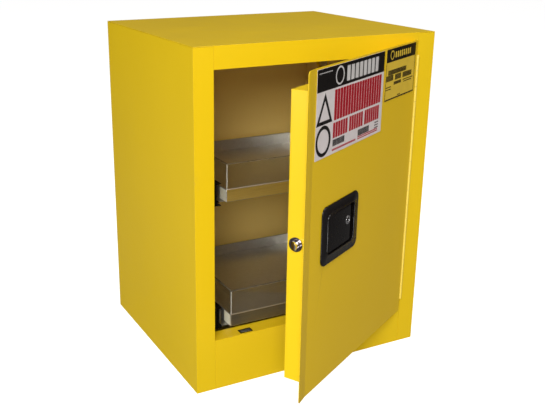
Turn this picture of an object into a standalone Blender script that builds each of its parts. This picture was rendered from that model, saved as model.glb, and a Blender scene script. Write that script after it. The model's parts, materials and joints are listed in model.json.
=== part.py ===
"""Bench-top flammable storage cabinet: a double-walled steel case with one door, a three-point latch and
two drawers on ball-bearing slides.

Metres, +Z up. The origin is on the floor under the middle of the case, +X is to the right of someone facing
the door and the front face is at -Y. The door stands open by DOOR_OPEN about its hinge pin. Door pieces are
laid out in the door's own frame: its origin is on the hinge pin, a distance "out" from the pin runs along
-X towards the free edge, and a "deep" distance behind the front of the skin runs along +Y.
"""

import math

import bmesh
import bpy
from mathutils import Matrix, Vector

# Driving dimensions of the case
WIDTH, DEPTH, HEIGHT = 0.533, 0.457, 0.686
SHEET = 0.0012
GAP = 0.0003
STILE = 0.040
HEADER = 0.0423
RAIL = 0.1087
RETURN = 0.0355
WALL = 0.0381
SUMP_DEPTH = 0.0515

# Planes that follow from them
FRONT, BACK = -DEPTH / 2, DEPTH / 2
SIDE = WIDTH / 2
JAMB = SIDE - STILE
HEAD = HEIGHT - HEADER
RETURN_BACK = FRONT + RETURN
LINER_BACK = BACK - WALL
SUMP_BOTTOM = RAIL - SUMP_DEPTH - 0.002

# Door
DOOR_OPEN = math.radians(29.4)
PIN_X, PIN_Y = 0.2240, -0.2325
SKIN_START, SKIN_FLAT, SKIN_FLARE = 0.0036, 0.431, 0.0278
FLARE_ANGLE = math.radians(7)
SKIN_LOW, SKIN_HIGH = 0.0805, 0.6725
PAN_START, PAN_END, PAN_DEEP = 0.0034, 0.4405, 0.038
PAN_LOW, PAN_HIGH = 0.1136, 0.638
LABEL_THICK = 0.0003

# Piano hinge
HINGE_LOW, HINGE_HIGH = 0.107, 0.642
LEAF_LOW = RAIL + 0.001
KNUCKLES = 17
KNUCKLE_R, BORE_R, PIN_R = 0.0030, 0.0019, 0.0015
LEAF_DEEP = 0.0290
FRAME_LEAF_OFF, FRAME_TAB = 0.0010, 0.0023
DOOR_LEAF_OFF, DOOR_TAB = 0.0019, 0.0010

# Handle: the dish in the skin, the paddle and its lock
DISH_OUT, DISH_Z = (0.2515, 0.3915), (0.318, 0.428)
RECESS_OUT, RECESS_Z = (0.2675, 0.3745), (0.334, 0.412)
DISH_PROUD, DISH_FLOOR, DISH_WALL = 0.0025, 0.0155, 0.0025
PADDLE_OUT, PADDLE_Z = (0.281, 0.3695), (0.3375, 0.4085)
PADDLE_FRONT, PADDLE_THICK = -0.0018, 0.004
PADDLE_PIN_OUT, PADDLE_PIN_DEEP = 0.364, 0.0065
PADDLE_SWING = math.radians(38)
ARM = 0.0155
LOCK_OUT, LOCK_Z = 0.293, 0.380

# Three-point latch behind the dish
LATCH_Z = 0.3745
BOLT_DEEP, BOLT_R, BOLT_PROUD = 0.0215, 0.008, 0.015
BAR_THICK, BAR_HALF = 0.004, 0.008
CAM_OUT, CAM_R = 0.377, 0.012
CAM_Z = LATCH_Z - CAM_R
CAM_DEEP, CAM_THICK = 0.0243, 0.0025
LATCH_TRAVEL = 2 * ARM * math.sin(PADDLE_SWING / 2)
CAM_HALF_TURN = math.asin(LATCH_TRAVEL / 2 / CAM_R)
ROD_DEEP, ROD_IN_DEEP, ROD_THICK, ROD_HALF = 0.0162, 0.0296, 0.004, 0.0095
ROD_BITE = 0.0082

# Slots that the latch enters in the frame
SLOT_OUT_HALF, SLOT_DEEP = 0.0123, (0.0103, 0.0221)

# Drawers
TRAY_HALF, TRAY_LONG, TRAY_LIP, GUARD_TOP = 0.1738, 0.350, 0.0262, 0.077
TRAY_SHUT = -0.173
GUARD_THICK = 0.003
LOWER_Z, UPPER_Z = 0.1115, 0.3722
LOWER_FORWARD = 0.019
SLIDE_LONG, SLIDE_TALL, SLIDE_WIDE = 0.350, 0.045, 0.0127
SLIDE_FRONT = RETURN_BACK + 0.003
SLIDE_INNER_BACK = 0.012
MOUNT_WIDE = 0.0212

# Vents and earthing stud in the right side, as (name, y, z)
VENTS = (("upper", 0.120, 0.585), ("lower", 0.120, 0.212))
VENT_R, VENT_WALL = 0.027, 0.003
STUD, STUD_R = ("stud", 0.185, 0.030), 0.003

YELLOW, YELLOW_IN = (0.86, 0.58, 0.02), (0.62, 0.44, 0.03)
BLACK, STEEL, ZINC, CHROME = (0.012, 0.012, 0.014), (0.55, 0.55, 0.55), (0.66, 0.66, 0.63), (0.8, 0.8, 0.8)


# ---- materials ----

def finish(name, colour, roughness, metallic=0.0, alpha=1.0):
    """The material of this name, made on first use."""
    material = bpy.data.materials.get(name)
    if material is None:
        material = bpy.data.materials.new(name)
        material.use_nodes = True
        shader = material.node_tree.nodes["Principled BSDF"]
        shader.inputs["Base Color"].default_value = (*colour, 1.0)
        shader.inputs["Roughness"].default_value = roughness
        shader.inputs["Metallic"].default_value = metallic
        shader.inputs["Alpha"].default_value = alpha
    return material


def yellow():
    return finish("yellow_powder_coat", YELLOW, 0.35)


def liner_yellow():
    return finish("liner_powder_coat", YELLOW_IN, 0.45)


def black_plastic():
    return finish("black_plastic", BLACK, 0.35)


def black_steel():
    return finish("black_steel", BLACK, 0.4, 0.6)


def steel():
    return finish("zinc_steel", STEEL, 0.35, 1.0)


def galvanised():
    return finish("galvanised_steel", ZINC, 0.45, 1.0)


def chrome():
    return finish("chrome", CHROME, 0.12, 1.0)


def clear_plastic():
    return finish("clear_acrylic", (0.95, 0.97, 0.97), 0.05, 0.0, 0.25)


def label_film():
    return finish("label_film", (0.9, 0.9, 0.88), 0.4)


# ---- shapes: each takes and returns a bmesh, so that simple ones can be put together ----

def add_box(mesh, low, high):
    """Adds a box between two corners, given in any order along each axis."""
    middle = [(a + b) / 2 for a, b in zip(low, high)]
    size = [abs(b - a) for a, b in zip(low, high)]
    place = Matrix.Translation(middle) @ Matrix.Diagonal((*size, 1.0))
    bmesh.ops.create_cube(mesh, size=1.0, matrix=place)
    return mesh


def add_prism(mesh, outline, axis, start, end):
    """Adds an outline of (a, b) points extruded along an axis; a and b are the other two axes in order."""
    index = "XYZ".index(axis)

    def point(a, b, c):
        values = [a, b]
        values.insert(index, c)
        return Vector(values)

    near = [mesh.verts.new(point(a, b, start)) for a, b in outline]
    far = [mesh.verts.new(point(a, b, end)) for a, b in outline]
    faces = [mesh.faces.new(near), mesh.faces.new(far[::-1])]
    for i, corner in enumerate(near):
        after = (i + 1) % len(near)
        faces.append(mesh.faces.new((near[after], corner, far[i], far[after])))
    bmesh.ops.recalc_face_normals(mesh, faces=faces)
    return mesh


def add_turned(mesh, profile, centre, direction, segments=24):
    """Adds a ring turned about a line: profile is a closed loop of (radius, distance along the line)."""
    turn = Vector((0, 0, 1)).rotation_difference(Vector(direction)).to_matrix().to_4x4()
    place = Matrix.Translation(centre) @ turn
    rings = []
    for i in range(segments):
        angle = 2 * math.pi * i / segments
        rings.append([
            mesh.verts.new(place @ Vector((r * math.cos(angle), r * math.sin(angle), along)))
            for r, along in profile
        ])
    faces = []
    for i, ring in enumerate(rings):
        other = rings[(i + 1) % segments]
        for j in range(len(ring)):
            k = (j + 1) % len(ring)
            faces.append(mesh.faces.new((ring[j], other[j], other[k], ring[k])))
    bmesh.ops.recalc_face_normals(mesh, faces=faces)
    return mesh


def add_rod(mesh, radius, start, end, segments=20):
    """Adds a solid cylinder between two points."""
    start, end = Vector(start), Vector(end)
    turn = Vector((0, 0, 1)).rotation_difference(end - start).to_matrix().to_4x4()
    bmesh.ops.create_cone(
        mesh, cap_ends=True, segments=segments, radius1=radius, radius2=radius,
        depth=(end - start).length, matrix=Matrix.Translation((start + end) / 2) @ turn,
    )
    return mesh


def sheet_outline(path, thickness):
    """The outline of a folded sheet: path is its outer face, and the metal lies to the left of the path."""
    def left(a, b):
        along = (Vector(b) - Vector(a)).normalized()
        return Vector((-along.y, along.x))

    inner = []
    for i, corner in enumerate(path):
        sides = [left(path[i - 1], corner)] if i else []
        if i + 1 < len(path):
            sides.append(left(corner, path[i + 1]))
        if len(sides) == 1:
            move = sides[0] * thickness
        else:
            move = (sides[0] + sides[1]) * thickness / (1 + sides[0].dot(sides[1]))
        inner.append(tuple(Vector(corner) + move))
    return list(path) + inner[::-1]


def rounded(a, b, radius, steps=4):
    """A rectangle between two ranges, with round corners."""
    points = []
    for turn, (ca, cb) in enumerate((
        (a[1] - radius, b[1] - radius), (a[0] + radius, b[1] - radius),
        (a[0] + radius, b[0] + radius), (a[1] - radius, b[0] + radius),
    )):
        for step in range(steps + 1):
            angle = math.pi / 2 * (turn + step / steps)
            points.append((ca + radius * math.cos(angle), cb + radius * math.sin(angle)))
    return points


# ---- objects ----

def piece(name, mesh, material, parent=None, origin=(0, 0, 0), smooth=False):
    """Makes an object of a bmesh, whose points are in its parent's frame, with its own origin."""
    bmesh.ops.translate(mesh, verts=mesh.verts, vec=-Vector(origin))
    data = bpy.data.meshes.new(name)
    mesh.to_mesh(data)
    mesh.free()
    if smooth:
        data.shade_smooth()
        data.set_sharp_from_angle(angle=math.radians(35))
    made = bpy.data.objects.new(name, data)
    if material is not None:
        data.materials.append(material)
    made.parent = parent
    made.location = origin
    bpy.context.scene.collection.objects.link(made)
    return made


def combine(target, tool_mesh, operation):
    """Cuts a shape out of an object, or joins one to it. Its points are in the target's parent's frame."""
    tool = piece(f"{target.name}_{operation.lower()}", tool_mesh, None, target.parent)
    tool.hide_render = True
    tool.display_type = "WIRE"
    step = target.modifiers.new(operation.title(), "BOOLEAN")
    step.operation = operation
    step.object = tool
    step.solver = "EXACT"
    return target


def cut(target, *meshes):
    for mesh in meshes:
        combine(target, mesh, "DIFFERENCE")
    return target


def join(target, *meshes):
    for mesh in meshes:
        combine(target, mesh, "UNION")
    return target


def box(low, high):
    return add_box(bmesh.new(), low, high)


def prism(outline, axis, start, end):
    return add_prism(bmesh.new(), outline, axis, start, end)


def rod(radius, start, end, segments=20):
    return add_rod(bmesh.new(), radius, start, end, segments)


def turned(profile, centre, direction, segments=24):
    return add_turned(bmesh.new(), profile, centre, direction, segments)


# ---- outer case ----

def outer_side(name, hand):
    """One sheet folded into the side, the stile and the jamb return, which stops above the sump's floor."""
    path = [(-SIDE, BACK), (-SIDE, FRONT), (-JAMB, FRONT), (-JAMB, RETURN_BACK)]
    outline = sheet_outline(path, SHEET)
    outline = [(-hand * x, y) for x, y in outline]
    panel = piece(name, prism(outline, "Z", 0, HEIGHT - SHEET - GAP), yellow())
    clear = (RETURN_BACK - RETURN + SHEET + GAP, RETURN_BACK + 0.01)
    edge = hand * JAMB
    return cut(panel, box((edge - 0.01, clear[0], -0.01), (edge + 0.01, clear[1], SUMP_BOTTOM)))


def outer_sides():
    left = outer_side("outer_side_left", -1)
    bolt_y, half = PIN_Y + BOLT_DEEP, BOLT_R + 0.002
    cut(left, box((-JAMB + 0.01, bolt_y - half, LATCH_Z - half - 0.001),
                  (-JAMB - 0.01, bolt_y + half, LATCH_Z + half + 0.001)))
    right = outer_side("outer_side_right", 1)
    cut(right, *[vent_hole(place) for place in VENTS])
    _, y, z = STUD
    cut(right, rod(STUD_R + 0.0004, (SIDE - 0.01, y, z), (SIDE + 0.01, y, z), 12))


def frame_slot(z):
    """A cutter for the slot that a latch rod enters in the sill or the head."""
    middle = PIN_X - CAM_OUT
    return box((middle - SLOT_OUT_HALF, PIN_Y + SLOT_DEEP[0], z - 0.005),
               (middle + SLOT_OUT_HALF, PIN_Y + SLOT_DEEP[1], z + 0.005))


def outer_top():
    """Top sheet with the header folded down between the stiles and returned under it."""
    top = piece("outer_top", box((-SIDE, FRONT, HEIGHT - SHEET), (SIDE, BACK, HEIGHT)), yellow())
    path = [(FRONT, HEIGHT - SHEET / 2), (FRONT, HEAD), (RETURN_BACK, HEAD)]
    join(top, prism(sheet_outline(path, SHEET), "X", -JAMB + GAP, JAMB - GAP))
    cut(top, frame_slot(HEAD))


def lower_front_rail():
    """Front rail, sill with the lower latch slot, and the lip that turns down behind it."""
    path = [(RETURN_BACK, RAIL - SUMP_DEPTH), (RETURN_BACK, RAIL), (FRONT, RAIL), (FRONT, 0)]
    rail = piece(
        "lower_front_rail",
        prism(sheet_outline(path, SHEET), "X", -JAMB + GAP, JAMB - GAP),
        yellow(),
    )
    cut(rail, frame_slot(RAIL))


def outer_back_and_bottom():
    inside = SIDE - SHEET - GAP
    piece(
        "outer_back", box((-inside, BACK - SHEET, 0), (inside, BACK, HEIGHT - SHEET - GAP)), yellow()
    )
    piece(
        "outer_bottom",
        box((-inside, FRONT + SHEET + GAP, 0), (inside, BACK - SHEET - GAP, SHEET)),
        yellow(),
    )


# ---- inner liner and leak-proof sump ----

def liner():
    front, back = RETURN_BACK + GAP, LINER_BACK - GAP
    for name, hand in (("liner_side_left", -1), ("liner_side_right", 1)):
        wall = piece(
            name,
            box((hand * JAMB, front, SUMP_BOTTOM), (hand * (JAMB + SHEET), back, HEAD + SHEET)),
            liner_yellow(),
        )
        if hand > 0:
            cut(wall, *[vent_hole(place) for place in VENTS])
    inside = JAMB - GAP
    piece("liner_top", box((-inside, front, HEAD), (inside, back, HEAD + SHEET)), liner_yellow())
    outside = JAMB + SHEET
    piece(
        "liner_back",
        box((-outside, LINER_BACK, SUMP_BOTTOM), (outside, LINER_BACK + SHEET, HEAD + SHEET)),
        liner_yellow(),
    )
    pan = piece(
        "sump_pan",
        box((-inside, front, SUMP_BOTTOM), (inside, back, RAIL - 0.002)),
        liner_yellow(),
    )
    cut(pan, box((-inside + SHEET, front + SHEET, SUMP_BOTTOM + SHEET),
                 (inside - SHEET, back - SHEET, RAIL)))


# ---- vents and the earthing stud, all on the right side ----

def vent_hole(place):
    """A cutter through both right walls."""
    _, y, z = place
    return rod(VENT_R + GAP, (JAMB - 0.01, y, z), (SIDE + 0.01, y, z), 32)


def vent(place):
    """Tube through both walls with a collar between them, a flame-arrester screen and a screw-in bung."""
    name, y, z = place
    inner_r = VENT_R - VENT_WALL
    collar_r, collar_out = VENT_R + 0.006, SIDE - SHEET - GAP
    collar_in = collar_out - 0.002
    start, end = JAMB - 0.001, SIDE - GAP
    tube = [
        (inner_r, start), (VENT_R, start), (VENT_R, collar_in), (collar_r, collar_in),
        (collar_r, collar_out), (VENT_R, collar_out), (VENT_R, end), (inner_r, end),
    ]
    piece(f"vent_tube_{name}", turned(tube, (0, y, z), (1, 0, 0), 32), yellow(), smooth=True)
    fit = inner_r - GAP
    disc = rod(fit, (JAMB + 0.004, y, z), (JAMB + 0.006, y, z), 32)
    piece(f"vent_screen_{name}", disc, steel(), smooth=True)
    outside = SIDE - 0.001
    plug = rod(fit, (outside - 0.013, y, z), (outside, y, z), 32)
    bung = piece(f"vent_bung_{name}", plug, black_plastic(), smooth=True)
    ring = [(0.009, 0.01), (fit - 0.004, 0.01), (fit - 0.004, -0.006), (0.009, -0.006)]
    cut(bung, turned(ring, (outside, y, z), (1, 0, 0), 32))


def earthing_stud():
    """Threaded stud with its nut, low on the right side near the back."""
    _, y, z = STUD
    nut = (0.0058, SIDE + GAP, SIDE + 0.005)
    washer = (0.0070, SIDE - SHEET - 0.003, SIDE - SHEET - GAP)
    thread = rod(STUD_R, (SIDE - 0.008, y, z), (SIDE + 0.010, y, z), 12)
    stud = piece("earthing_stud", thread, steel(), smooth=True)
    join(stud, rod(nut[0], (nut[1], y, z), (nut[2], y, z), 6),
         rod(washer[0], (washer[1], y, z), (washer[2], y, z), 12))


# ---- piano hinge ----

def knuckle_spans(odd):
    """The lengths of the hinge pin that one leaf's knuckles hold."""
    pitch = (HINGE_HIGH - HINGE_LOW) / KNUCKLES
    first = 0 if odd else 1
    return [
        (HINGE_LOW + i * pitch + GAP, HINGE_LOW + (i + 1) * pitch - GAP)
        for i in range(first, KNUCKLES, 2)
    ]


def hinge_leaf(name, side, off, tab, parent, centre):
    """One leaf: a flat strip beside the pin, with a tab and a rolled knuckle at each of its spans."""
    x, y = centre
    odd = side > 0
    near, far = x + side * off, x + side * (off + SHEET)
    leaf = piece(
        name, box((near, y + 0.0038, LEAF_LOW), (far, y + LEAF_DEEP, HINGE_HIGH)), yellow(), parent
    )
    knuckles = bmesh.new()
    for low, high in knuckle_spans(odd):
        loop = [(BORE_R, low), (KNUCKLE_R, low), (KNUCKLE_R, high), (BORE_R, high)]
        add_turned(knuckles, loop, (x, y, 0), (0, 0, 1), 16)
    join(leaf, knuckles)
    tabs = bmesh.new()
    for low, high in knuckle_spans(odd):
        add_box(tabs, (near, y + tab, max(low, LEAF_LOW)), (far, y + 0.0045, high))
    join(leaf, tabs)
    return leaf


def hinge(door):
    hinge_leaf("hinge_leaf_frame", 1, FRAME_LEAF_OFF, FRAME_TAB, None, (PIN_X, PIN_Y))
    hinge_leaf("hinge_leaf_door", -1, DOOR_LEAF_OFF, DOOR_TAB, door, (0, 0))
    piece(
        "hinge_pin",
        rod(PIN_R, (PIN_X, PIN_Y, HINGE_LOW), (PIN_X, PIN_Y, HINGE_HIGH), 12),
        steel(), smooth=True,
    )


# ---- door ----

def out_box(out, deep, z):
    """A box in the door's frame, from ranges of out, deep and z."""
    return box((-out[0], deep[0], z[0]), (-out[1], deep[1], z[1]))


def door_skin(door):
    """Outer sheet: flat to SKIN_FLAT, then flared away from the case, with round outer corners."""
    tip = (SKIN_FLAT + SKIN_FLARE * math.cos(FLARE_ANGLE), -SKIN_FLARE * math.sin(FLARE_ANGLE))
    path = [(-SKIN_START, 0), (-SKIN_FLAT, 0), (-tip[0], tip[1])]
    outline = sheet_outline(path[::-1], SHEET)
    mesh = prism(outline, "Z", SKIN_LOW, SKIN_HIGH)
    ends = [
        edge for edge in mesh.edges
        if all(vert.co.x < -tip[0] + SHEET for vert in edge.verts)
        and abs(edge.verts[0].co.z - edge.verts[1].co.z) < SHEET
    ]
    bmesh.ops.bevel(mesh, geom=ends, offset=0.006, segments=4, affect="EDGES", profile=0.5)
    skin = piece("door_skin", mesh, yellow(), door)
    grow = DISH_WALL + GAP
    out = (RECESS_OUT[0] - grow, RECESS_OUT[1] + grow)
    z = (RECESS_Z[0] - grow, RECESS_Z[1] + grow)
    cut(skin, prism(rounded((-out[1], -out[0]), z, 0.011), "Y", -0.01, 0.01))


def door_pan(door):
    """Inner box of the door, open towards the skin, with holes for the side bolt and the two rods."""
    front = SHEET + GAP
    whole = out_box((PAN_START, PAN_END), (front, PAN_DEEP), (PAN_LOW, PAN_HIGH))
    pan = piece("door_pan", whole, yellow(), door)
    cut(pan, out_box((PAN_START + SHEET, PAN_END - SHEET), (-0.01, PAN_DEEP - SHEET),
                     (PAN_LOW + SHEET, PAN_HIGH - SHEET)))
    edge = -PAN_END
    cut(pan, rod(0.0103, (edge + 0.01, BOLT_DEEP, LATCH_Z), (edge - 0.01, BOLT_DEEP, LATCH_Z), 24))
    half = (ROD_HALF + 0.0012, ROD_THICK / 2 + 0.0012)
    for z in (PAN_LOW, PAN_HIGH):
        cut(pan, out_box((CAM_OUT - half[0], CAM_OUT + half[0]), (ROD_DEEP - half[1], ROD_DEEP + half[1]),
                         (z - 0.01, z + 0.01)))


def labels(door):
    """Two plain films on the skin."""
    for name, out, z in (
        ("label_large", (0.1653, 0.4256), (0.519, 0.6695)),
        ("label_small", (0.0154, 0.1559), (0.5723, 0.6699)),
    ):
        piece(name, out_box(out, (-GAP - LABEL_THICK, -GAP), z), label_film(), door)


# ---- handle ----

def handle_dish(door):
    """Black dish with a flange on the skin and a recess for the paddle."""
    mesh = prism(rounded((-DISH_OUT[1], -DISH_OUT[0]), DISH_Z, 0.014), "Y", -DISH_PROUD, -GAP)
    dish = piece("handle_dish", mesh, black_plastic(), door, smooth=True)
    out = (-RECESS_OUT[1] - DISH_WALL, -RECESS_OUT[0] + DISH_WALL)
    z = (RECESS_Z[0] - DISH_WALL, RECESS_Z[1] + DISH_WALL)
    join(dish, prism(rounded(out, z, 0.0105), "Y", -0.001, DISH_FLOOR + 0.002))
    cut(dish, prism(rounded((-RECESS_OUT[1], -RECESS_OUT[0]), RECESS_Z, 0.009), "Y", -0.01, DISH_FLOOR))
    cut(dish, out_box((0.3570, 0.3715), (0.01, 0.03), (LATCH_Z - 0.006, LATCH_Z + 0.006)))
    cut(dish, out_box((RECESS_OUT[0] - 0.006, RECESS_OUT[0] + 0.004), (0.0104, 0.0142),
                      (LOCK_Z - 0.014, LOCK_Z + 0.005)))
    pin = (-PADDLE_PIN_OUT, PADDLE_PIN_DEEP)
    cut(dish, rod(PIN_R + GAP, (*pin, DISH_Z[0]), (*pin, DISH_Z[1]), 12))


def paddle(door):
    """Lever that turns on its upright pin: its far edge is pulled, and its arm drives the side bolt."""
    pin = (-PADDLE_PIN_OUT, PADDLE_PIN_DEEP)
    mesh = prism(rounded((-PADDLE_OUT[1], -PADDLE_OUT[0]), PADDLE_Z, 0.005), "Y",
                 PADDLE_FRONT, PADDLE_FRONT + PADDLE_THICK)
    lever = piece("paddle", mesh, black_plastic(), door, (*pin, LATCH_Z), smooth=True)
    hub_top = 0.391
    tip = (pin[0] - ARM * math.sin(PADDLE_SWING / 2), pin[1] + ARM * math.cos(PADDLE_SWING / 2))
    arm = [(pin[0] - 0.003, pin[1]), (pin[0] + 0.003, pin[1]),
           (tip[0] + 0.0014, tip[1]), (tip[0] - 0.0014, tip[1])]
    join(lever, rod(0.0034, (*pin, PADDLE_Z[0]), (*pin, hub_top), 16))
    join(lever, box((pin[0] - 0.002, 0, PADDLE_Z[0]), (pin[0] + 0.002, pin[1], hub_top)))
    join(lever, prism(arm, "Z", LATCH_Z - 0.004, LATCH_Z + 0.004))
    cut(lever, rod(BORE_R, (*pin, PADDLE_Z[0] - 0.01), (*pin, hub_top + 0.01), 12))
    cut(lever, rod(0.0073, (-LOCK_OUT, -0.01, LOCK_Z), (-LOCK_OUT, 0.01, LOCK_Z), 24))
    shaft = rod(PIN_R, (*pin, RECESS_Z[0] - 0.002), (*pin, RECESS_Z[1] + 0.002), 12)
    piece("paddle_pin", shaft, steel(), door, smooth=True)
    return lever


def paddle_spring(door):
    """Torsion spring on the paddle's pin, above the hub."""
    low, turns, per_turn, radius = 0.3925, 6, 12, 0.0026
    pitch = 0.0022
    curve = bpy.data.curves.new("paddle_spring", "CURVE")
    curve.dimensions = "3D"
    line = curve.splines.new("POLY")
    line.points.add(turns * per_turn)
    for i, point in enumerate(line.points):
        angle = 2 * math.pi * i / per_turn
        point.co = (radius * math.cos(angle), radius * math.sin(angle), pitch * i / per_turn, 1)
    curve.bevel_depth = 0.00045
    curve.bevel_resolution = 1
    curve.use_fill_caps = True
    curve.materials.append(steel())
    spring = bpy.data.objects.new("paddle_spring", curve)
    spring.parent = door
    spring.location = (-PADDLE_PIN_OUT, PADDLE_PIN_DEEP, low + 0.0005)
    bpy.context.scene.collection.objects.link(spring)


def lock(door):
    """Cylinder in the paddle, and the plug whose tongue swings into the dish's side slot."""
    centre = (-LOCK_OUT, 0, LOCK_Z)
    seat = PADDLE_FRONT - GAP
    body = [(0.0048, -0.0034), (0.0085, -0.0034), (0.0085, seat), (0.0070, seat), (0.0070, 0.0102),
            (0.0048, 0.0102)]
    piece("lock_cylinder", turned(body, centre, (0, 1, 0)), chrome(), door, smooth=True)
    barrel = rod(0.0045, (-LOCK_OUT, -0.0030, LOCK_Z), (-LOCK_OUT, 0.0130, LOCK_Z), 20)
    plug = piece("lock_plug", barrel, chrome(), door, centre, smooth=True)
    join(plug, out_box((LOCK_OUT - 0.004, LOCK_OUT + 0.004), (0.0110, 0.0134),
                       (LOCK_Z - 0.0285, LOCK_Z + 0.0035)))
    cut(plug, out_box((LOCK_OUT - 0.0006, LOCK_OUT + 0.0006), (-0.01, 0.0010),
                      (LOCK_Z - 0.003, LOCK_Z + 0.003)))


# ---- three-point latch ----

def side_bolt(door):
    """Chrome bolt with a slanted end on a flat bar that the paddle's arm draws back."""
    tail, neck = 0.350, 0.432
    deep = (BOLT_DEEP - BAR_THICK / 2, BOLT_DEEP + BAR_THICK / 2)
    tip = PAN_END + BOLT_PROUD
    head = rod(BOLT_R, (-0.4295, BOLT_DEEP, LATCH_Z), (-tip, BOLT_DEEP, LATCH_Z), 24)
    bolt = piece("side_bolt", head, chrome(), door, (-tail, BOLT_DEEP, LATCH_Z), smooth=True)
    join(bolt, out_box((tail, neck), deep, (LATCH_Z - BAR_HALF, LATCH_Z + BAR_HALF)))
    front, rear = BOLT_DEEP - BOLT_R + 0.003, BOLT_DEEP + BOLT_R + 0.002
    slant = [(-tip - 0.002, front), (-tip - 0.002, rear), (-PAN_END - 0.0015, rear), (-tip + 0.0005, front)]
    cut(bolt, prism(slant, "Z", LATCH_Z - 0.02, LATCH_Z + 0.02))
    arm_at = PADDLE_PIN_OUT + ARM * math.sin(PADDLE_SWING / 2)
    cut(bolt, out_box((arm_at - 0.0028, arm_at + 0.0028), (0.01, 0.03),
                      (LATCH_Z - 0.0045, LATCH_Z + 0.0045)))
    pin_at = CAM_OUT + CAM_R * math.sin(CAM_HALF_TURN)
    cut(bolt, out_box((pin_at - 0.0023, pin_at + 0.0023), (0.01, 0.03),
                      (LATCH_Z - 0.0045, LATCH_Z + 0.0030)))


def bolt_housing(door):
    """Round collar on the pan's edge that guides the side bolt."""
    bore, outer, flange = BOLT_R + 0.0005, 0.0100, 0.0130
    face = -PAN_END - GAP
    proud, inside = face - 0.0016, face + 0.011
    loop = [(bore, proud), (flange, proud), (flange, face), (outer, face), (outer, inside), (bore, inside)]
    piece("bolt_housing", turned(loop, (0, BOLT_DEEP, LATCH_Z), (1, 0, 0)), chrome(), door, smooth=True)


def cam_pin(angle):
    """Where a pin sits on the cam at rest, as (x, z); the angle is from the top, towards the free edge."""
    return (-CAM_OUT - CAM_R * math.sin(angle), CAM_Z + CAM_R * math.cos(angle))


def latch_cam(door):
    """Disc with a front pin in the bolt's bar and two rear pins in the rods, turning on a stud."""
    disc = [(0.0033, CAM_DEEP), (CAM_R + 0.004, CAM_DEEP), (CAM_R + 0.004, CAM_DEEP + CAM_THICK),
            (0.0033, CAM_DEEP + CAM_THICK)]
    centre = (-CAM_OUT, 0, CAM_Z)
    mesh = turned(disc, centre, (0, 1, 0))
    cam = piece("latch_cam", mesh, steel(), door, centre, smooth=True)
    x, z = cam_pin(CAM_HALF_TURN)
    join(cam, rod(0.002, (x, 0.0200, z), (x, CAM_DEEP + 0.001, z), 12))
    for angle in (CAM_HALF_TURN + math.pi / 2, CAM_HALF_TURN - math.pi / 2):
        x, z = cam_pin(angle)
        join(cam, rod(0.002, (x, CAM_DEEP + CAM_THICK - 0.001, z), (x, 0.0325, z), 12))
    seat = (-CAM_OUT, PAN_DEEP - SHEET - GAP, CAM_Z)
    stud = piece("cam_stud", rod(0.003, (-CAM_OUT, 0.0238, CAM_Z), seat, 16), steel(), door, smooth=True)
    join(stud, rod(0.008, (-CAM_OUT, 0.0346, CAM_Z), seat, 16))


def latch_rod(name, door, up):
    """Flat rod from the cam to the head (up = 1) or to the sill (up = -1), stepped back behind the dish."""
    edge = PAN_HIGH if up > 0 else PAN_LOW
    frame = HEAD if up > 0 else RAIL
    tip = frame + up * ROD_BITE
    wide_end = 0.395 if up > 0 else 0.330
    step = (0.430, 0.448) if up > 0 else (0.318, 0.300)
    half = ROD_THICK / 2
    near, far = (ROD_IN_DEEP, ROD_DEEP)
    outline = [
        (near - half, wide_end), (near - half, step[0]), (far - half, step[1]), (far - half, tip),
        (far + half, tip - up * 0.004), (far + half, step[1]), (near + half, step[0]),
        (near + half, wide_end),
    ]
    mesh = prism(outline, "X", -CAM_OUT - ROD_HALF, -CAM_OUT + ROD_HALF)
    bar = piece(name, mesh, steel(), door, (-CAM_OUT, ROD_DEEP, edge))
    pin_x, pin_z = cam_pin(CAM_HALF_TURN - up * math.pi / 2)
    neck = (-CAM_OUT + up * 0.0035, -CAM_OUT + up * 0.0190)
    join(bar, box((neck[0], near - half, pin_z - up * 0.006),
                  (neck[1], near + half, wide_end + up * 0.002)))
    reach = CAM_R * (1 - math.cos(CAM_HALF_TURN))
    low, high = sorted((pin_x, pin_x + up * reach))
    cut(bar, box((low - 0.0024, near - 0.01, pin_z - 0.0023),
                 (high + 0.0024, near + 0.01, pin_z + 0.0023)))


def rod_guide(name, door, z):
    """Bracket on the pan's inner face with a hole that the rod slides in."""
    back = PAN_DEEP - SHEET - GAP
    half = 0.0145
    wide = (CAM_OUT - half, CAM_OUT + half)
    guide = piece(name, out_box(wide, (0.0115, back), (z - 0.001, z + 0.001)), steel(), door)
    join(guide, out_box(wide, (back - 0.0015, back), (z - 0.010, z + 0.0005)))
    hole_out, hole_deep = ROD_HALF + 0.0005, ROD_THICK / 2 + 0.0005
    hole = ((CAM_OUT - hole_out, CAM_OUT + hole_out), (ROD_DEEP - hole_deep, ROD_DEEP + hole_deep))
    cut(guide, out_box(*hole, (z - 0.01, z + 0.01)))


# ---- drawers ----

def slide_section(side, points):
    """A slide's section in X and Z, from points of (distance from the mount, height above the middle)."""
    start = JAMB - GAP - MOUNT_WIDE
    return [(side * (start - a), b) for a, b in points]


def channel(side, z, near, far, half, flip=False):
    """A C-shaped section of sheet: its web at near, or at far if flipped, and flanges to the other."""
    web, lip = (far, near) if flip else (near, far)
    path = [(lip, half), (web, half), (web, -half), (lip, -half)]
    if flip:
        path = path[::-1]
    return [(x, z + h) for x, h in slide_section(side, sheet_outline(path, SHEET))]


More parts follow.
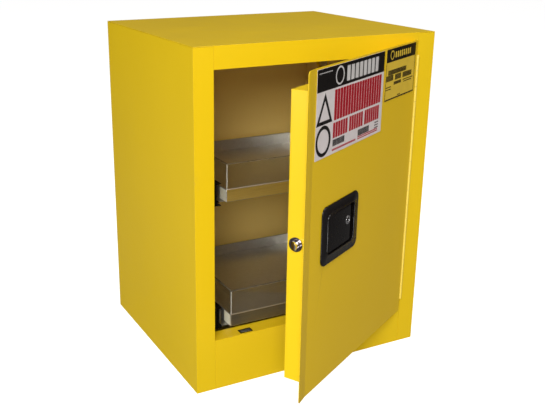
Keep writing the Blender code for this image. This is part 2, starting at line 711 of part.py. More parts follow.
def slide(level, z, side, hand, forward):
    """Mount, outer member, middle member and the inner member with its foot under the tray."""
    middle = z + 0.0240
    half = SLIDE_TALL / 2
    back = SLIDE_FRONT + SLIDE_LONG
    mount = channel(side, middle, -MOUNT_WIDE, 0, half, flip=True)
    piece(f"{level}_slide_mount_{hand}", prism(mount, "Y", SLIDE_FRONT, back), black_steel())
    outer = channel(side, middle, GAP, SLIDE_WIDE - 0.001, half)
    piece(f"{level}_slide_outer_{hand}", prism(outer, "Y", SLIDE_FRONT, back), black_steel())
    shut = TRAY_SHUT - SLIDE_FRONT
    mid_front = SLIDE_FRONT + shut / 2 - forward / 2
    mid = channel(side, middle, 0.0030, SLIDE_WIDE - 0.0005, half - 0.0035)
    mid_long = SLIDE_LONG - 0.01
    piece(f"{level}_slide_middle_{hand}", prism(mid, "Y", mid_front, mid_front + mid_long), steel())
    front = TRAY_SHUT - forward + SLIDE_INNER_BACK
    foot = -(0.0240 + SHEET + GAP)
    tray_side = JAMB - GAP - MOUNT_WIDE - TRAY_HALF
    top = half - 0.0070
    path = [(0.0060, top), (SLIDE_WIDE, top), (SLIDE_WIDE, foot), (tray_side + 0.012, foot)]
    section = [(x, middle + h) for x, h in slide_section(side, sheet_outline(path, SHEET))]
    inner_long = SLIDE_LONG - 0.02
    piece(f"{level}_slide_inner_{hand}", prism(section, "Y", front, front + inner_long), steel())


def drawer(level, z, forward):
    """Open steel tray with a clear guard standing inside its lip, on a pair of slides."""
    front = TRAY_SHUT - forward
    back = front + TRAY_LONG
    whole = box((-TRAY_HALF, front, z), (TRAY_HALF, back, z + TRAY_LIP))
    tray = piece(f"{level}_tray", whole, galvanised())
    inside = TRAY_HALF - SHEET
    cut(tray, box((-inside, front + SHEET, z + SHEET), (inside, back - SHEET, z + 0.1)))
    edge = inside - GAP
    face = front + SHEET + GAP
    path = [(-edge, back - 0.03), (-edge, face), (edge, face), (edge, back - 0.03)]
    guard = prism(sheet_outline(path, GUARD_THICK), "Z", z + SHEET + GAP, z + GUARD_TOP)
    piece(f"{level}_guard", guard, clear_plastic())
    for side, hand in ((-1, "left"), (1, "right")):
        slide(level, z, side, hand, forward)


# ---- the whole ----

def clear_scene():
    for old in list(bpy.data.objects):
        bpy.data.objects.remove(old, do_unlink=True)


def door_axis():
    """The empty on the hinge pin that carries every door piece, turned by the door's opening."""
    axis = bpy.data.objects.new("door_axis", None)
    axis.location = (PIN_X, PIN_Y, 0)
    axis.rotation_euler = (0, 0, DOOR_OPEN)
    bpy.context.scene.collection.objects.link(axis)
    return axis


def main():
    clear_scene()
    outer_sides()
    outer_top()
    lower_front_rail()
    outer_back_and_bottom()
    liner()
    for place in VENTS:
        vent(place)
    earthing_stud()
    door = door_axis()
    hinge(door)
    door_skin(door)
    door_pan(door)
    labels(door)
    handle_dish(door)
    paddle(door)
    paddle_spring(door)
    lock(door)
    side_bolt(door)
    bolt_housing(door)
    latch_cam(door)
    latch_rod("upper_rod", door, 1)
    latch_rod("lower_rod", door, -1)
    rod_guide("rod_guide_upper", door, 0.545)
    rod_guide("rod_guide_lower", door, 0.200)
    drawer("upper", UPPER_Z, 0)
    drawer("lower", LOWER_Z, LOWER_FORWARD)


main()
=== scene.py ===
"""The looks of a bench-top flammable storage cabinet.

Powder-coated steel, black handle, chrome latch, galvanised trays with clear guards, and two plain labels.
Metres, in the CAD model's frame.

Door pieces are laid out in the door's own frame, as in the CAD: its origin is on the hinge pin, a distance
"out" from the pin runs along -X towards the free edge, and a "deep" distance behind the skin's front runs
along +Y.
"""

import json
import math

import bmesh
import bpy
from mathutils import Matrix, Vector


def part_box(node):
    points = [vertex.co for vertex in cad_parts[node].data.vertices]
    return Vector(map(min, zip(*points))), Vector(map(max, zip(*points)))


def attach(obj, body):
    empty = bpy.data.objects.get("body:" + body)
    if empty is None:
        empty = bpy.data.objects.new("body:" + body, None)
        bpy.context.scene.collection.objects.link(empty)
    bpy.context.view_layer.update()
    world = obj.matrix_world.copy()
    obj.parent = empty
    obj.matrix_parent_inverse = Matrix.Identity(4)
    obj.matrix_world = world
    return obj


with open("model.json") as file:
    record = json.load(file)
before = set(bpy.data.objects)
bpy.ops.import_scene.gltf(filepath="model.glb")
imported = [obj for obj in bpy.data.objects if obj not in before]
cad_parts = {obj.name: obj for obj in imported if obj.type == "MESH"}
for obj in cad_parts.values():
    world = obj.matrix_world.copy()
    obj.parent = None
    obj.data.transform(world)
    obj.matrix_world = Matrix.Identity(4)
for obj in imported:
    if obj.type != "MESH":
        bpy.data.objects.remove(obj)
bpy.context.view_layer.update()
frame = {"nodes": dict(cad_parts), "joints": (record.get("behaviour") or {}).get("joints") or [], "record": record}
nodes = frame["nodes"]


# ---- the door's own frame ----

hinge = next(joint for joint in frame["joints"] if joint["name"] == "door_hinge")
DOOR_PLACE = (
    Matrix.Translation((hinge["pos_m"][0], hinge["pos_m"][1], 0))
    @ Matrix.Rotation(-math.radians(hinge["range_deg"][0]), 4, "Z")
)
OUT, DEEP, UP = Vector((-1, 0, 0)), Vector((0, 1, 0)), Vector((0, 0, 1))


def on_door(node, axis):
    """A door node's span along an axis of the door's frame, from low to high."""
    marks = [axis.dot(DOOR_PLACE.inverted() @ vertex.co) for vertex in nodes[node].data.vertices]
    return min(marks), max(marks)


# ---- materials ----

class Shader:
    """A material's node tree, with short calls for the nodes that the finishes share."""

    def __init__(self, name):
        self.material = bpy.data.materials.new(name)
        self.material.use_nodes = True
        self.tree = self.material.node_tree
        self.surface = self.tree.nodes["Principled BSDF"]
        self.place = self.tree.nodes.new("ShaderNodeTexCoord").outputs["Object"]

    def node(self, kind, **settings):
        made = self.tree.nodes.new(kind)
        for key, value in settings.items():
            setattr(made, key, value)
        return made

    def link(self, output, entry):
        self.tree.links.new(output, entry)

    def set(self, **values):
        for name, value in values.items():
            self.surface.inputs[name.replace("_", " ")].default_value = value

    def stretched(self, scale):
        """The object's coordinates, scaled by axis."""
        made = self.node("ShaderNodeMapping")
        made.inputs["Scale"].default_value = scale
        self.link(self.place, made.inputs["Vector"])
        return made.outputs["Vector"]

    def noise(self, scale, detail=2.0, rough=0.5, place=None):
        made = self.node("ShaderNodeTexNoise")
        made.inputs["Scale"].default_value = scale
        made.inputs["Detail"].default_value = detail
        made.inputs["Roughness"].default_value = rough
        self.link(place or self.place, made.inputs["Vector"])
        return made.outputs["Fac"]

    def cells(self, scale):
        """A flat random colour for each cell of about 1 / scale."""
        made = self.node("ShaderNodeTexVoronoi")
        made.inputs["Scale"].default_value = scale
        self.link(self.place, made.inputs["Vector"])
        return made.outputs["Color"]

    def spread(self, value, low, high, start=0.3, end=0.7):
        """A value from start to end, mapped to low to high."""
        made = self.node("ShaderNodeMapRange")
        for name, number in zip(("From Min", "From Max", "To Min", "To Max"), (start, end, low, high)):
            made.inputs[name].default_value = number
        self.link(value, made.inputs["Value"])
        return made.outputs["Result"]

    def blend(self, share, first, second):
        """A colour between two, by share."""
        made = self.node("ShaderNodeMix", data_type="RGBA")
        self.link(share, made.inputs["Factor"])
        for entry, colour in ((made.inputs[6], first), (made.inputs[7], second)):
            if isinstance(colour, tuple):
                entry.default_value = (*colour, 1.0)
            else:
                self.link(colour, entry)
        return made.outputs[2]

    def colour(self, output):
        self.link(output, self.surface.inputs["Base Color"])

    def roughness(self, output):
        self.link(output, self.surface.inputs["Roughness"])

    def bump(self, height, distance, strength):
        made = self.node("ShaderNodeBump")
        made.inputs["Strength"].default_value = strength
        made.inputs["Distance"].default_value = distance
        self.link(height, made.inputs["Height"])
        self.link(made.outputs["Normal"], self.surface.inputs["Normal"])


def shade(colour, factor):
    return tuple(min(1.0, part * factor) for part in colour)


def powder_coat(name, colour, gloss=0.30):
    """Baked powder paint: fine orange peel, faint drift in tone and in gloss."""
    paint = Shader(name)
    drift = paint.spread(paint.noise(2.6, 2.0), 0.0, 1.0)
    paint.colour(paint.blend(drift, shade(colour, 0.98), shade(colour, 1.02)))
    paint.roughness(paint.spread(paint.noise(14.0, 3.0), gloss - 0.02, gloss + 0.03))
    paint.bump(paint.noise(620.0, 2.0, 0.6), 0.0001, 0.45)
    paint.set(IOR=1.5)
    return paint.material


def plastic(name, colour, low, high, grain=900.0, depth=0.00004, shine=0.5):
    """Moulded plastic with a fine satin grain and faint handling marks."""
    body = Shader(name)
    drift = body.spread(body.noise(30.0, 3.0), 0.0, 1.0)
    body.colour(body.blend(drift, shade(colour, 0.85), shade(colour, 1.2)))
    body.roughness(body.spread(body.noise(60.0, 4.0, 0.65), low, high))
    body.bump(body.noise(grain, 2.0), depth, 0.5)
    body.set(Specular_IOR_Level=shine)
    return body.material


def brushed(name, colour, low, high, grain=(30.0, 30.0, 900.0), metal=1.0):
    """Metal with a drawn grain along two axes."""
    body = Shader(name)
    lines = body.noise(1.0, 3.0, 0.6, body.stretched(grain))
    tone = body.spread(lines, 0.0, 1.0, 0.25, 0.75)
    body.colour(body.blend(tone, shade(colour, 0.86), shade(colour, 1.08)))
    body.roughness(body.spread(body.noise(22.0, 4.0), low, high))
    body.bump(lines, 0.00003, 0.4)
    body.set(Metallic=metal)
    return body.material


def galvanised(name):
    """Zinc sheet: smooth pale grey, with a barely seen spangle and rolled streaks."""
    zinc = Shader(name)
    split = zinc.node("ShaderNodeSeparateColor")
    zinc.link(zinc.cells(160.0), split.inputs["Color"])
    streaks = zinc.noise(1.0, 3.0, 0.6, zinc.stretched((12.0, 400.0, 400.0)))
    crystal = zinc.blend(split.outputs["Red"], (0.52, 0.50, 0.46), (0.56, 0.54, 0.50))
    zinc.colour(zinc.blend(zinc.spread(streaks, 0.0, 0.4), crystal, (0.62, 0.60, 0.56)))
    zinc.roughness(zinc.spread(split.outputs["Green"], 0.30, 0.36, 0.0, 1.0))
    zinc.bump(streaks, 0.00001, 0.2)
    zinc.set(Metallic=0.85)
    return zinc.material


def chrome(name, colour=(0.78, 0.78, 0.79), low=0.05, high=0.12):
    """Polished plating with faint hazing."""
    plate = Shader(name)
    haze = plate.spread(plate.noise(90.0, 3.0), 0.0, 1.0)
    plate.colour(plate.blend(haze, shade(colour, 0.9), shade(colour, 1.03)))
    plate.roughness(plate.spread(plate.noise(60.0, 2.0), low, high))
    plate.bump(plate.noise(200.0, 1.0), 0.00001, 0.15)
    plate.set(Metallic=1.0)
    return plate.material


def acrylic(name):
    """Clear thin sheet: what is behind shows through, and its gloss grows at a slant."""
    sheet = Shader(name)
    haze = sheet.spread(sheet.noise(35.0, 4.0), 0.0, 1.0)
    clear = sheet.node("ShaderNodeBsdfTransparent")
    sheet.link(sheet.blend(haze, (0.955, 0.97, 0.965), (0.975, 0.985, 0.98)), clear.inputs["Color"])
    sheet.colour(sheet.blend(haze, (0.80, 0.83, 0.82), (0.88, 0.90, 0.89)))
    sheet.roughness(sheet.spread(sheet.noise(50.0, 4.0), 0.02, 0.06))
    slant = sheet.node("ShaderNodeLayerWeight")
    slant.inputs["Blend"].default_value = 0.5
    rise = sheet.node("ShaderNodeMath", operation="POWER")
    rise.inputs[1].default_value = 5.0
    sheet.link(slant.outputs["Facing"], rise.inputs[0])
    mix = sheet.node("ShaderNodeMixShader")
    sheet.link(sheet.spread(rise.outputs[0], 0.04, 0.9, 0.0, 1.0), mix.inputs[0])
    sheet.link(clear.outputs[0], mix.inputs[1])
    sheet.link(sheet.surface.outputs[0], mix.inputs[2])
    sheet.set(Metallic=1.0)
    sheet.link(mix.outputs[0], sheet.tree.nodes["Material Output"].inputs["Surface"])
    return sheet.material


def printed(name, colour, rough=0.38, shine=0.5):
    """Printed vinyl film."""
    film = Shader(name)
    drift = film.spread(film.noise(45.0, 3.0), 0.0, 1.0)
    film.colour(film.blend(drift, shade(colour, 0.94), shade(colour, 1.03)))
    film.roughness(film.spread(film.noise(70.0, 3.0), rough - 0.06, rough + 0.06))
    film.bump(film.noise(260.0, 2.0), 0.00003, 0.4)
    film.set(Specular_IOR_Level=shine)
    return film.material


YELLOW = (0.86, 0.585, 0.008)
FINISHES = {
    "yellow_powder_coat": powder_coat("yellow_powder_coat_look", YELLOW),
    # The liner is painted tan, paler and browner than the outer yellow, as painted bounce light and shade in the
    # interior.
    "liner_powder_coat": powder_coat("liner_painted_bounce_light_look", (0.83, 0.59, 0.17), 0.42),
    "black_plastic": plastic("black_plastic_look", (0.004, 0.003, 0.003), 0.2, 0.28, shine=0.42),
    "black_steel": plastic("black_steel_look", (0.004, 0.004, 0.0035), 0.4, 0.52, 500.0, shine=0.12),
    "zinc_steel": brushed("zinc_steel_look", (0.60, 0.60, 0.585), 0.26, 0.4),
    "galvanised_steel": galvanised("galvanised_steel_look"),
    "chrome": chrome("chrome_look"),
    "clear_acrylic": acrylic("clear_acrylic_look"),
    "label_film": printed("label_white_look", (0.76, 0.72, 0.72)),
}
# The hinge leaves are painted a paler, brighter yellow than the cabinet as a painted highlight on the knuckles.
PAINTED_HIGHLIGHT_HINGE = powder_coat("hinge_painted_highlight_look", (0.97, 0.74, 0.12), 0.24)
PADDLE_BLACK = plastic("paddle_black_look", (0.003, 0.002, 0.002), 0.22, 0.3, shine=0.22)
# The bolt housing's chrome is darkened as a painted reflection of dark surroundings.
CHROME_PAINTED_DARK_REFLECTION = chrome("chrome_painted_dark_reflection_look", (0.20, 0.17, 0.18), 0.12, 0.22)
# Pale bars on the guards' front corners: a painted highlight.
GUARD_CORNER_PAINTED_HIGHLIGHT = printed("acrylic_corner_painted_highlight_look", (0.80, 0.80, 0.74), 0.3)
DIM_EDGE = printed("acrylic_edge_look", (0.13, 0.12, 0.09), 0.3)
# Tray lip fronts: the upper is tinted yellow as a painted reflection of the door's inner face, and the lower is
# darkened as a painted reflection of the shaded floor and door flange.
LIP_FACE_PAINTED_REFLECTION = {
    "upper": brushed("upper_lip_painted_reflection_look", (0.70, 0.61, 0.26), 0.28, 0.34, (12.0, 400.0, 400.0), 0.9),
    "lower": brushed("lower_lip_painted_dark_reflection_look", (0.20, 0.19, 0.165), 0.34, 0.40, (12.0, 400.0, 400.0), 0.9),
}
# The lip ends are painted pale cream and matt as a painted highlight where the key light falls on them.
FOLDED_END_PAINTED_HIGHLIGHT = brushed("lip_end_painted_highlight_look", (0.97, 0.90, 0.70), 0.40, 0.50, (400.0, 12.0, 400.0), 0.0)
LABEL_YELLOW = printed("label_yellow_look", (0.80, 0.57, 0.05))
INK_BLACK = printed("ink_black_look", (0.004, 0.003, 0.003), 0.32, 0.25)
INK_RED = printed("ink_red_look", (0.40, 0.004, 0.015), 0.34, 0.25)
INK_PALE = printed("ink_pale_look", (0.66, 0.65, 0.64), 0.36)


# ---- CAD nodes: finish and rounded edges ----

LEVELS = ("upper", "lower")
SHEET_EDGE = 0.0004
EDGES = {"handle_dish": 0.0009, "paddle": 0.0012, "label_large": 0, "label_small": 0, "paddle_spring": 0}
OWN_FINISH = {
    "label_small": LABEL_YELLOW,
    # painted dark reflection on the bolt housing's chrome
    "bolt_housing": CHROME_PAINTED_DARK_REFLECTION,
    "paddle": PADDLE_BLACK,
    # painted highlight: brighter yellow on the hinge leaves
    "hinge_leaf_frame": PAINTED_HIGHLIGHT_HINGE,
    "hinge_leaf_door": PAINTED_HIGHLIGHT_HINGE,
}
for level in LEVELS:
    for side in ("left", "right"):
        OWN_FINISH[f"{level}_slide_middle_{side}"] = FINISHES["black_steel"]


def dress(node, material, edge):
    """Gives a CAD node its finish and softens its edges by edge metres."""
    cad = nodes[node]
    for own in cad.material_slots:
        own.material = material
    weld = cad.modifiers.new("weld", "WELD")
    weld.merge_threshold = 0.00001
    if edge:
        soften = cad.modifiers.new("soften", "BEVEL")
        soften.width = edge
        soften.segments = 2
        soften.limit_method = "ANGLE"
        soften.angle_limit = math.radians(40)
        soften.harden_normals = True


for row in frame["record"]["subparts"]:
    finish = OWN_FINISH.get(row["node"], FINISHES[row["material_slot"]])
    dress(row["node"], finish, EDGES.get(row["node"], SHEET_EDGE))


# ---- new pieces ----

def place_piece(name, mesh, material, body, place=None, smooth=False):
    """Makes a piece of a bmesh and lets it ride on a body."""
    bmesh.ops.recalc_face_normals(mesh, faces=mesh.faces)
    data = bpy.data.meshes.new(name)
    mesh.to_mesh(data)
    mesh.free()
    if place is not None:
        data.transform(place)
    if smooth:
        data.shade_smooth()
        data.set_sharp_from_angle(angle=math.radians(50))
    data.materials.append(material)
    made = bpy.data.objects.new(name, data)
    bpy.context.scene.collection.objects.link(made)
    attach(made, body)


def add_skin(mesh, rings, closed=False):
    """Adds a skin through rings of points. It is capped at both ends, or closed on itself."""
    rings = [[mesh.verts.new(point) for point in ring] for ring in rings]
    for ring, other in zip(rings, rings[1:] + rings[:1] if closed else rings[1:]):
        for i, corner in enumerate(ring):
            after = (i + 1) % len(ring)
            mesh.faces.new((corner, ring[after], other[after], other[i]))
    if not closed:
        mesh.faces.new(rings[0])
        mesh.faces.new(rings[-1][::-1])


def add_loops(mesh, loops, closed=False):
    """Adds a skin through outlines of (out, z) points, each at its depth."""
    add_skin(mesh, [[(-out, deep, z) for out, z in outline] for outline, deep in loops], closed)


def add_plate(mesh, outline, deep):
    add_loops(mesh, [(outline, deep[0]), (outline, deep[1])])


def round_box(out, z, radius, steps=3):
    """The outline of a rectangle with round corners."""
    points = []
    centres = (
        (out[1] - radius, z[1] - radius), (out[0] + radius, z[1] - radius),
        (out[0] + radius, z[0] + radius), (out[1] - radius, z[0] + radius),
    )
    for turn, (a, b) in enumerate(centres):
        for step in range(steps + 1):
            angle = math.pi / 2 * (turn + step / steps)
            points.append((a + radius * math.cos(angle), b + radius * math.sin(angle)))
    return points


def add_ring(mesh, outer, inner, deep):
    """Adds a plate between two outlines with the same number of points."""
    add_loops(mesh, [(outer, deep[0]), (inner, deep[0]), (inner, deep[1]), (outer, deep[1])], closed=True)


def add_bar(mesh, start, end, radius, sides=10):
    """Adds a round bar between two points."""
    start, end = Vector(start), Vector(end)
    turn = Vector((0, 0, 1)).rotation_difference(end - start).to_matrix().to_4x4()
    bmesh.ops.create_cone(
        mesh, cap_ends=True, segments=sides, radius1=radius, radius2=radius,
        depth=(end - start).length, matrix=Matrix.Translation((start + end) / 2) @ turn,
    )


# ---- labels ----

INK = 0.00018
LARGE_OUT, LARGE_Z = on_door("label_large", OUT), on_door("label_large", UP)
SMALL_OUT, SMALL_Z = on_door("label_small", OUT), on_door("label_small", UP)
LARGE_BAND, SMALL_BAND = 0.632, 0.646
FILM_EDGE = 0.0004
FILM_FRONT = on_door("label_large", DEEP)[0]
PRINT = (FILM_FRONT - INK, FILM_FRONT + 0.00005)
RAISED = (PRINT[0] - 0.00008, PRINT[0] + 0.00004)


def print_piece(name, mesh, material):
    place_piece(name, mesh, material, "door", DOOR_PLACE)


def block_row(mesh, out, z, count, share=0.72, radius=0.0012, deep=PRINT):
    """Adds a row of plain round-cornered blocks, from the hinge side to the free edge."""
    pitch = (out[1] - out[0]) / count
    for i in range(count):
        start = out[0] + i * pitch + pitch * (1 - share) / 2
        add_plate(mesh, round_box((start, start + pitch * share), z, min(radius, pitch * share / 2.2)), deep)


def circle(middle, radius, steps=48):
    angles = [2 * math.pi * i / steps for i in range(steps)]
    return [(middle[0] + radius * math.cos(a), middle[1] + radius * math.sin(a)) for a in angles]


def large_label():
    """Black band, an empty triangle and ring, and rows of plain blocks in place of words."""
    dark = bmesh.new()
    out = (LARGE_OUT[0] + FILM_EDGE, LARGE_OUT[1] - FILM_EDGE)
    add_plate(dark, round_box(out, (LARGE_BAND, LARGE_Z[1] - FILM_EDGE), 0.0006), PRINT)
    triangle = [(0.3958, 0.6285), (0.3680, 0.5765), (0.4248, 0.5765)]
    hole = [(0.3959, 0.6160), (0.3780, 0.5825), (0.4146, 0.5825)]
    add_ring(dark, triangle, hole, PRINT)
    middle = (0.3983, 0.5482)
    add_ring(dark, circle(middle, 0.0264), circle(middle, 0.0201), PRINT)
    block_row(dark, (0.3190, 0.3636), (0.5318, 0.5432), 9, 0.78, 0.0008)
    block_row(dark, (0.2191, 0.2660), (0.5300, 0.5415), 9, 0.78, 0.0008)
    for z in (0.5300, 0.5350, 0.5400):
        block_row(dark, (0.1790, 0.1955), (z, z + 0.0022), 5, 0.7, 0.0005)
    print_piece("label_large_black_print", dark, INK_BLACK)
    red = bmesh.new()
    block_row(red, (0.1745, 0.3625), (0.5765, 0.6285), 18, 0.86, 0.0012)
    for start, end, count in ((0.1785, 0.2415, 7), (0.2470, 0.3030, 6), (0.3085, 0.3645, 6)):
        block_row(red, (start, end), (0.5460, 0.5725), count, 0.82, 0.001)
    block_row(red, (0.2740, 0.3650), (0.5240, 0.5275), 26, 0.74, 0.0005)
    for z in (0.5238, 0.5272):
        block_row(red, (0.1817, 0.2663), (z, z + 0.0022), 26, 0.74, 0.0005)
    print_piece("label_large_red_print", red, INK_RED)
    pale = bmesh.new()
    block_row(pale, (0.1905, 0.3215), (0.6370, 0.6630), 8, 0.74, 0.0015, RAISED)
    block_row(pale, (0.3735, 0.4200), (0.6613, 0.6630), 14, 0.6, 0.0005, RAISED)
    middle = (0.3455, 0.6507)
    add_ring(pale, circle(middle, 0.0158), circle(middle, 0.0128), RAISED)
    print_piece("label_large_pale_print", pale, INK_PALE)


def small_label():
    """Black band and thin border, and rows of plain blocks in place of words."""
    dark = bmesh.new()
    out = (SMALL_OUT[0] + FILM_EDGE, SMALL_OUT[1] - FILM_EDGE)
    add_plate(dark, round_box(out, (SMALL_BAND, SMALL_Z[1] - FILM_EDGE), 0.0006), PRINT)
    border = (SMALL_Z[0] + FILM_EDGE, SMALL_BAND + 0.0005)
    line = 0.0015
    inside = round_box(
        (out[0] + line, out[1] - line), (border[0] + 1.6 * line, border[1] - line), 0.0003
    )
    add_ring(dark, round_box(out, border, 0.0006), inside, PRINT)
    for span, z, count in (
        ((0.0585, 0.1450), (0.6205, 0.6295), 16), ((0.0305, 0.0750), (0.6080, 0.6180), 8),
        ((0.0830, 0.1120), (0.6085, 0.6190), 5), ((0.1200, 0.1530), (0.6090, 0.6200), 6),
        ((0.0810, 0.1165), (0.5995, 0.6055), 8), ((0.0240, 0.0735), (0.6025, 0.6045), 14),
        ((0.0300, 0.0690), (0.5985, 0.6005), 11), ((0.1285, 0.1530), (0.5970, 0.5990), 7),
        ((0.1285, 0.1530), (0.5925, 0.5945), 7), ((0.0810, 0.0960), (0.5765, 0.5785), 4),
    ):
        block_row(dark, span, z, count, 0.78, 0.0006)
    print_piece("label_small_dark_print", dark, INK_BLACK)
    pale = bmesh.new()
    block_row(pale, (0.0395, 0.1175), (0.6510, 0.6625), 8, 0.58, 0.001, RAISED)
    middle = (0.1299, 0.6575)
    add_ring(pale, circle(middle, 0.0088), circle(middle, 0.0066), RAISED)
    print_piece("label_small_pale_print", pale, LABEL_YELLOW)


# ---- handle ----

DISH_OUT, DISH_Z = on_door("handle_dish", OUT), on_door("handle_dish", UP)
DISH_RADIUS, RECESS_RADIUS, PADDLE_RADIUS = 0.014, 0.009, 0.005
RECESS_OUT = (DISH_OUT[0] + 0.016, DISH_OUT[1] - 0.017)
RECESS_Z = (DISH_Z[0] + 0.016, DISH_Z[1] - 0.016)
PADDLE_OUT = (0.281, 0.3695)
PADDLE_Z = on_door("paddle", UP)


def between(share):
    """The handle's outline at a share of the way from the recess to the flange's outer edge."""
    out, z = (
        [a + (b - a) * share for a, b in zip(inner, outer)]
        for inner, outer in ((RECESS_OUT, DISH_OUT), (RECESS_Z, DISH_Z))
    )
    return round_box(out, z, RECESS_RADIUS + (DISH_RADIUS - RECESS_RADIUS) * share, 8)


def handle_bezel():
    """The flange's moulded face: flat, with a raised bead round the recess and a rolled outer edge.

    The bead is undercut, because the paddle's end swings in under it.
    """
    undercut = ((-0.02, -0.0004), (-0.10, -0.0014), (-0.15, -0.0026), (-0.15, -0.0034))
    bead = (
        (-0.135, -0.0044), (-0.11, -0.0049), (-0.080, -0.0049), (-0.065, -0.0046), (-0.055, -0.0040),
        (-0.045, -0.0032),
    )
    flange = (
        (-0.03, -0.0030), (0.90, -0.0030), (0.945, -0.0028), (0.98, -0.0022), (1.0, -0.0013),
        (1.005, -0.0003),
    )
    mesh = bmesh.new()
    loops = [(between(share), deep) for share, deep in undercut + bead + flange]
    add_loops(mesh, loops, closed=True)
    place_piece(
        "handle_bezel", mesh, FINISHES["black_plastic"], "door", DOOR_PLACE, smooth=True
    )


def paddle_face():
    """The paddle's moulded face, with rolled edges."""
    def outline(grow):
        out = (PADDLE_OUT[0] - grow, PADDLE_OUT[1] + grow)
        return round_box(out, (PADDLE_Z[0] - grow, PADDLE_Z[1] + grow), PADDLE_RADIUS + grow, 6)

    section = (
        (0.0002, 0.0015), (0.0002, -0.0010), (-0.0001, -0.0018), (-0.0006, -0.0024), (-0.0014, -0.0029),
        (-0.0026, -0.0031),
    )
    mesh = bmesh.new()
    add_loops(mesh, [(outline(grow), deep) for grow, deep in section])
    place_piece(
        "paddle_face", mesh, PADDLE_BLACK, "paddle", DOOR_PLACE, smooth=True
    )


# ---- drawers: rolled tray edges, lip colours with painted reflection and highlight, and the guards' cut edges with painted corner highlights ----

def tray_rim(level):
    """Rolled edge round the top of a tray, and down its two front corners."""
    low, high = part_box(f"{level}_tray")
    inset, radius = 0.0003, 0.0011
    left, right, front, back = low.x + inset, high.x - inset, low.y + inset, high.y - inset
    corners = [(left, front), (right, front), (right, back), (left, back)]
    mesh = bmesh.new()
    for i, corner in enumerate(corners):
        add_bar(mesh, (*corner, high.z - inset), (*corners[(i + 1) % 4], high.z - inset), radius)
    for corner in corners[:2]:
        add_bar(mesh, (*corner, low.z + 0.001), (*corner, high.z), radius)
    place_piece(
        f"{level}_tray_rim", mesh, FINISHES["galvanised_steel"], f"{level}_drawer",
        smooth=True,
    )


def lip_plates(level):
    """The tray's drawn front face, with a hem along its foot and a painted reflection in its colour, and the
    folded ends beside it, painted pale as a painted highlight.
    """
    low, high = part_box(f"{level}_tray")
    foot, top, fold = low.z + 0.0006, high.z - 0.0012, 0.030
    height = top - foot
    profile = (
        (0.0002, 0.0), (-0.0001, 0.0001), (-0.0004, 0.0005), (-0.0005, 0.0010), (-0.0004, 0.0016),
        (-0.0002, 0.0021), (-0.0002, height - 0.0016), (-0.0003, height - 0.0008), (0.0002, height),
    )
    taper = ((0.0010, 0.2), (0.0014, 0.8), (0.0020, 1.0))
    stations = [(low.x + inset, share) for inset, share in taper]
    stations += [(high.x - inset, share) for inset, share in reversed(taper)]
    mesh = bmesh.new()
    add_skin(mesh, [
        [(x, low.y + (deep * share if deep < 0 else deep), foot + rise) for deep, rise in profile]
        for x, share in stations
    ])
    drawer = f"{level}_drawer"
    place_piece(f"{level}_lip_front", mesh, LIP_FACE_PAINTED_REFLECTION[level], drawer, smooth=True)
    mesh = bmesh.new()
    for side, x in ((-1, low.x), (1, high.x)):
        rings = []
        for proud, shrink in ((-0.0002, 0.0), (0.00005, 0.0), (0.0002, 0.0004)):
            y = (low.y + 0.0005 + shrink, low.y + fold - shrink)
            outline = round_box(y, (foot + shrink, top - shrink), 0.0012)
            rings.append([(x + side * proud, a, b) for a, b in outline])
        add_skin(mesh, rings)
    place_piece(f"{level}_lip_ends", mesh, FOLDED_END_PAINTED_HIGHLIGHT, drawer)


def guard_edge(level):
    """The cut edge along a guard's top, and pale bars at its two front corners as a painted highlight on the
    folds.
    """
    low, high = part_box(f"{level}_guard")
    thick, proud = 0.003, 0.0002
    outer = (high.x + proud, low.y - proud)
    inner = (high.x - thick - proud, low.y + thick + proud)
    path = [
        (-outer[0], high.y), (-outer[0], outer[1]), (outer[0], outer[1]), (outer[0], high.y),
        (inner[0], high.y), (inner[0], inner[1]), (-inner[0], inner[1]), (-inner[0], high.y),
    ]
    mesh = bmesh.new()
    rings = [[mesh.verts.new((x, y, z)) for x, y in path] for z in (high.z - 0.0007, high.z + proud)]
    for ring in rings:
        for a, b, c, d in ((0, 1, 6, 7), (1, 2, 5, 6), (2, 3, 4, 5)):
            mesh.faces.new((ring[a], ring[b], ring[c], ring[d]))
    for i in range(len(path)):
        after = (i + 1) % len(path)
        mesh.faces.new((rings[0][i], rings[0][after], rings[1][after], rings[1][i]))
    place_piece(f"{level}_guard_edge", mesh, DIM_EDGE, f"{level}_drawer")
    mesh = bmesh.new()
    for side in (-1, 1):
        x, y = side * (high.x - 0.0006), low.y + 0.0006
        add_bar(mesh, (x, y, low.z + 0.001), (x, y, high.z - 0.001), 0.00065, 8)
    place_piece(f"{level}_guard_corners", mesh, GUARD_CORNER_PAINTED_HIGHLIGHT, f"{level}_drawer", smooth=True)


# ---- sill ----

SLOT_X, SLOT_HALF, SLOT_Y = -0.153, 0.0123, (-0.2222, -0.2104)


def sill_strike():
    """Insert in the sill's slot for the lower rod: a thin black rim, and a bare steel cup under it.

    It is laid out flat, with z along the sill's depth, and then turned so that its depth points down.
    """
    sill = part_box("lower_front_rail")[1].z
    place = Matrix.Translation((SLOT_X, 0, sill)) @ Matrix.Rotation(-math.pi / 2, 4, "X")

    def outline(grow, radius):
        span = (-SLOT_HALF - grow, SLOT_HALF + grow)
        return round_box(span, (SLOT_Y[0] - grow, SLOT_Y[1] + grow), radius)

    mesh = bmesh.new()
    add_ring(mesh, outline(0.0016, 0.0012), outline(-0.0010, 0.0006), (-0.0004, 0.0001))
    place_piece("sill_strike_rim", mesh, FINISHES["black_steel"], "cabinet", place)
    mesh = bmesh.new()
    add_ring(mesh, outline(-0.0002, 0.0006), outline(-0.0009, 0.0006), (0.0, 0.0120))
    add_plate(mesh, outline(-0.0002, 0.0006), (0.0118, 0.0125))
    place_piece("sill_strike_cup", mesh, FINISHES["zinc_steel"], "cabinet", place)


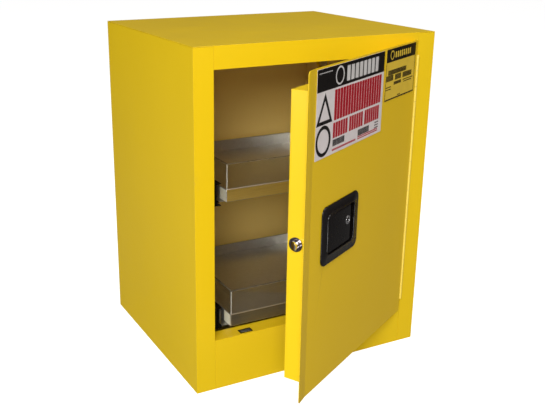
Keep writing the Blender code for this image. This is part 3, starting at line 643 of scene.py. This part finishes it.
large_label()
small_label()
handle_bezel()
paddle_face()
for level in LEVELS:
    tray_rim(level)
    lip_plates(level)
    guard_edge(level)
sill_strike()


# ---- stage, light and camera ----

def seen_or_lit(tree, seen, lit, entry):
    """Gives an entry one shader where the camera looks at it and another where it lights the object."""
    path = tree.nodes.new("ShaderNodeLightPath")
    mix = tree.nodes.new("ShaderNodeMixShader")
    tree.links.new(path.outputs["Is Camera Ray"], mix.inputs[0])
    tree.links.new(lit, mix.inputs[1])
    tree.links.new(seen, mix.inputs[2])
    tree.links.new(mix.outputs[0], entry)


def floor():
    """A plain pale floor: it looks nearly white, and throws only a little light up."""
    mesh = bmesh.new()
    bmesh.ops.create_grid(mesh, x_segments=1, y_segments=1, size=30)
    data = bpy.data.meshes.new("floor")
    mesh.to_mesh(data)
    mesh.free()
    made = bpy.data.objects.new("floor", data)
    pale = Shader("floor_look")
    pale.set(Base_Color=(0.45, 0.45, 0.45, 1.0), Roughness=0.9, Specular_IOR_Level=0.0)
    pale.set(Emission_Color=(*WHITE, 1.0), Emission_Strength=0.95)
    dim = pale.node("ShaderNodeBsdfDiffuse")
    dim.inputs["Color"].default_value = (0.18, 0.18, 0.18, 1.0)
    entry = pale.tree.nodes["Material Output"].inputs["Surface"]
    seen_or_lit(pale.tree, pale.surface.outputs[0], dim.outputs[0], entry)
    data.materials.append(pale.material)
    bpy.context.scene.collection.objects.link(made)


AIM = Vector((0.0, -0.1, 0.38))
WHITE = (1.0, 1.0, 1.0)


def soft_light(name, turn, tilt, away, size, power, colour=WHITE):
    """A square soft light aimed at the cabinet: turn is its bearing from the front, to the right."""
    turn, tilt = math.radians(turn), math.radians(tilt)
    toward = Vector((math.sin(turn) * math.cos(tilt), -math.cos(turn) * math.cos(tilt), math.sin(tilt)))
    data = bpy.data.lights.new(name, "AREA")
    data.shape = "SQUARE"
    data.size = size
    data.energy = power
    data.color = colour
    made = bpy.data.objects.new(name, data)
    made.location = AIM + toward * away
    made.rotation_euler = toward.to_track_quat("Z", "Y").to_euler()
    bpy.context.scene.collection.objects.link(made)


def lights():
    """Key from the left front, fills round it, and a small low card for the line on the handle's bead."""
    world = bpy.data.worlds.new("studio")
    world.use_nodes = True
    tree = world.node_tree
    fill = tree.nodes["Background"]
    fill.inputs["Color"].default_value = (1.0, 0.93, 0.86, 1.0)
    fill.inputs["Strength"].default_value = 0.08
    backdrop = tree.nodes.new("ShaderNodeBackground")
    backdrop.inputs["Color"].default_value = (*WHITE, 1.0)
    seen_or_lit(tree, backdrop.outputs[0], fill.outputs[0], tree.nodes["World Output"].inputs["Surface"])
    bpy.context.scene.world = world
    soft_light("key_light", -36, 26, 5.0, 2.0, 200)
    soft_light("left_fill", -85, 10, 4.0, 2.2, 46)
    soft_light("front_fill", -16, 5, 4.5, 2.6, 22, (1.0, 0.92, 0.84))
    soft_light("right_fill", 62, 20, 4.0, 2.2, 20, (1.0, 0.76, 0.62))
    soft_light("low_card", -36, -16, 1.1, 0.16, 1.0)
    soft_light("top_light", 50, 74, 3.2, 2.2, 46)
    bpy.context.scene.view_settings.view_transform = "Standard"


def camera():
    """At the photograph's view: its place, its turn, tilt and roll, and its lens."""
    place = Vector((-0.84817, -1.53135, 0.88451))
    turn, tilt, roll = (math.radians(angle) for angle in (-27.273, 18.676, 0.272))
    back = Vector((math.sin(turn) * math.cos(tilt), -math.cos(turn) * math.cos(tilt), math.sin(tilt)))
    level = Vector((math.cos(turn), math.sin(turn), 0))
    up = back.cross(level)
    right = level * math.cos(roll) + up * math.sin(roll)
    up = up * math.cos(roll) - level * math.sin(roll)
    data = bpy.data.cameras.new("camera")
    data.sensor_width = 36
    data.lens = 54.07
    data.shift_x, data.shift_y = 0.0628, -0.0042
    made = bpy.data.objects.new("camera", data)
    made.matrix_world = Matrix.Translation(place) @ Matrix((right, up, back)).transposed().to_4x4()
    bpy.context.scene.collection.objects.link(made)
    bpy.context.scene.camera = made


floor()
lights()
camera()
